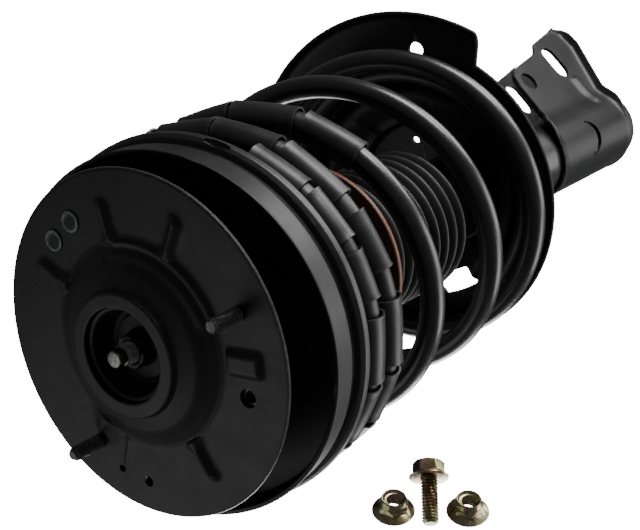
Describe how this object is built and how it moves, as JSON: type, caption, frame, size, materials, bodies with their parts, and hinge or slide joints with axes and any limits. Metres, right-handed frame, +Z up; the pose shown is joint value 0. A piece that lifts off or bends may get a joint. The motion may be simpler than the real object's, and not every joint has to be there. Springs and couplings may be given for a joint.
{
  "type": "spring and strut assembly",
  "caption": "Front suspension strut with coil spring, steerable top mount, bellows, spring pan with side guard and a two-ear clamp bracket for the knuckle.",
  "frame": {"origin": "on the piston rod's axis, level with the flat seat of the top mount plate", "axes": "+Z up along the piston rod out of the top mount, +Y from the rod towards the ears of the knuckle bracket, +X along the knuckle bolts"},
  "size_m": [0.2134, 0.31, 0.537],
  "materials": {
    "black_paint": "satin black paint",
    "tube_paint": "satin black paint",
    "spring_paint": "glossy black powder coat",
    "sleeve_plastic": "satin",
    "boot_rubber": "satin",
    "mount_rubber": "matte",
    "steel": "machined",
    "dark_steel": "phosphated",
    "zinc_plate": "yellow zinc plate",
    "bright_plate": "bright zinc plate",
    "tan_urethane": "satin",
    "foam_urethane": "matte foam",
    "cage_nylon": "matte"
  },
  "bodies": {
    "top_mount": {"mount_plate": "black_paint", "mount_rubber": "mount_rubber", "bearing_carrier": "black_paint", "inner_sleeve": "steel", "top_washer": "dark_steel", "bottom_washer": "steel", "rod_nut": "dark_steel", "tower_stud_1": "dark_steel", "tower_stud_2": "dark_steel", "captive_nut": "dark_steel", "plate_rivets": "bright_plate", "piston_rod": "steel", "piston": "steel", "piston_band": "mount_rubber", "rebound_stop": "tan_urethane", "bump_stop": "foam_urethane", "bearing_upper_race": "steel"},
    "bearing_cage": {"bearing_cage": "cage_nylon", "bearing_balls": "steel"},
    "spring_carrier": {"bearing_lower_race": "steel", "upper_spring_seat": "black_paint", "upper_isolator": "mount_rubber", "coil_spring": "spring_paint", "spring_sleeves": "sleeve_plastic", "dust_boot": "boot_rubber", "boot_ring": "tan_urethane"},
    "strut_body": {"strut_tube": "tube_paint", "pressure_tube": "steel", "base_valve": "steel", "rod_guide": "steel", "rod_seal": "mount_rubber", "tube_cap": "tube_paint", "bottom_cap": "tube_paint", "lower_spring_seat": "black_paint", "lower_isolator": "mount_rubber", "knuckle_bracket": "black_paint"},
    "loose_kit": {"kit_flange_nuts": "zinc_plate", "kit_flange_bolt": "zinc_plate"}
  },
  "joints": [
    {"name": "steer", "type": "hinge", "parent": "top_mount", "child": "spring_carrier", "pos_m": [0, 0, 0], "axis": [0, 0, 1], "range_deg": [-40, 40]},
    {"name": "cage_spin", "type": "hinge", "parent": "top_mount", "child": "bearing_cage", "pos_m": [0, 0, 0], "axis": [0, 0, 1], "range_deg": [-20, 20]},
    {"name": "strut_slide", "type": "slide", "parent": "spring_carrier", "child": "strut_body", "axis": [0, 0, 1], "range_m": [0, 0.1], "stiffness_N_per_m": 24000, "springref_m": -0.05, "deforming": ["coil_spring", "spring_sleeves", "dust_boot", "boot_ring"]},
    {"name": "kit_lift", "type": "slide", "parent": "top_mount", "child": "loose_kit", "axis": [0, 0, 1], "range_m": [0, 0.05]}
  ],
  "couplings": [
    {"joint": "cage_spin", "follows": "steer", "ratio": 0.5}
  ]
}
